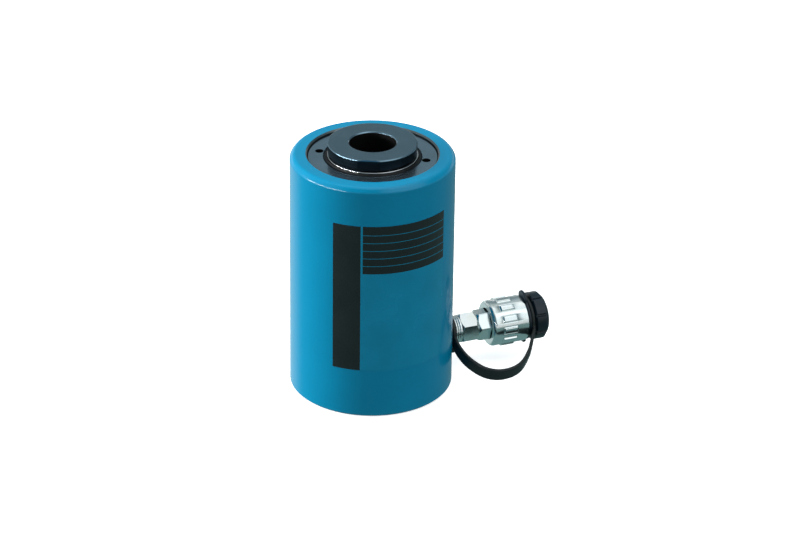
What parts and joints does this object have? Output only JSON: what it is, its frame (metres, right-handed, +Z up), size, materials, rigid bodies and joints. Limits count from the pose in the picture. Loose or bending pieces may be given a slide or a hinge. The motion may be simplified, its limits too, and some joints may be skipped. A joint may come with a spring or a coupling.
{
  "type": "hydraulic jack cylinder",
  "caption": "Hollow-plunger hydraulic jack cylinder with a through hole, spring return, side oil coupler, and a strapped dust cap.",
  "frame": {"origin": "centre of the object's bounding box at the height of the barrel's foot; the barrel's own axis is at x = -0.0309 m, y = 0", "axes": "+Z up along the plunger's stroke, +X along the oil coupler away from the barrel, +Y to the left of the coupler"},
  "size_m": [0.1568, 0.0954, 0.153],
  "materials": {
    "blue_enamel": "glossy sprayed enamel, teal blue",
    "label_black": "printed film, black and blue",
    "blackened_steel": "oil-blackened turned steel",
    "saddle_steel": "oil-blackened faced steel",
    "hard_chrome": "hard chrome, polished",
    "ground_steel": "ground steel",
    "spring_steel": "oil-tempered spring wire",
    "bright_zinc": "bright zinc plate",
    "black_rubber": "moulded black rubber",
    "seal_rubber": "nitrile rubber",
    "seal_urethane": "amber polyurethane",
    "bearing_polymer": "filled bearing polymer",
    "backup_polymer": "white back-up ring polymer"
  },
  "bodies": {
    "barrel": {"cylinder_body": "blue_enamel", "label_film": "label_black", "centre_tube": "ground_steel", "centre_tube_seal": "seal_rubber", "stop_ring": "blackened_steel", "guide_bush": "bearing_polymer", "rod_wiper": "seal_rubber", "port_adaptor": "bright_zinc", "coupler_body": "bright_zinc", "collar_retaining_ring": "spring_steel", "valve_seat": "ground_steel", "seat_seal": "seal_rubber", "valve_spring": "spring_steel"},
    "spring": {"return_spring": "spring_steel"},
    "plunger": {"plunger": "hard_chrome", "saddle": "saddle_steel", "piston_seal": "seal_urethane", "piston_backup_ring": "backup_polymer", "piston_wear_ring": "bearing_polymer", "inner_seal": "seal_urethane", "inner_wear_ring": "bearing_polymer"},
    "collar": {"lock_collar": "bright_zinc"},
    "poppet": {"valve_poppet": "ground_steel"},
    "strap": {"strap_base_ring": "black_rubber", "strap_band": "black_rubber"},
    "cap_ring": {"strap_cap_ring": "black_rubber"},
    "cap": {"dust_cap": "black_rubber"}
  },
  "joints": [
    {"name": "plunger_turn", "type": "hinge", "parent": "barrel", "child": "spring", "pos_m": [-0.0309, 0, 0.1], "axis": [0, 0, 1], "continuous": true},
    {"name": "plunger_stroke", "type": "slide", "parent": "spring", "child": "plunger", "axis": [0, 0, 1], "range_m": [0, 0.05], "stiffness_N_per_m": 12000, "springref_m": -0.015, "deforming": ["return_spring"]},
    {"name": "collar_spin", "type": "hinge", "parent": "barrel", "child": "collar", "pos_m": [0.0541, 0, 0.022], "axis": [1, 0, 0], "continuous": true},
    {"name": "valve_press", "type": "slide", "parent": "barrel", "child": "poppet", "axis": [-1, 0, 0], "range_m": [0, 0.0025], "stiffness_N_per_m": 800, "springref_m": -0.003, "deforming": ["valve_spring"]},
    {"name": "strap_swivel", "type": "hinge", "parent": "barrel", "child": "strap", "pos_m": [0.0182, 0, 0.022], "axis": [1, 0, 0], "continuous": true},
    {"name": "cap_pull", "type": "slide", "parent": "strap", "child": "cap_ring", "axis": [1, 0, 0], "range_m": [0, 0.014], "deforming": ["strap_band"]},
    {"name": "cap_spin", "type": "hinge", "parent": "cap_ring", "child": "cap", "pos_m": [0.0691, 0, 0.022], "axis": [1, 0, 0], "range_deg": [-33, 70]}
  ]
}
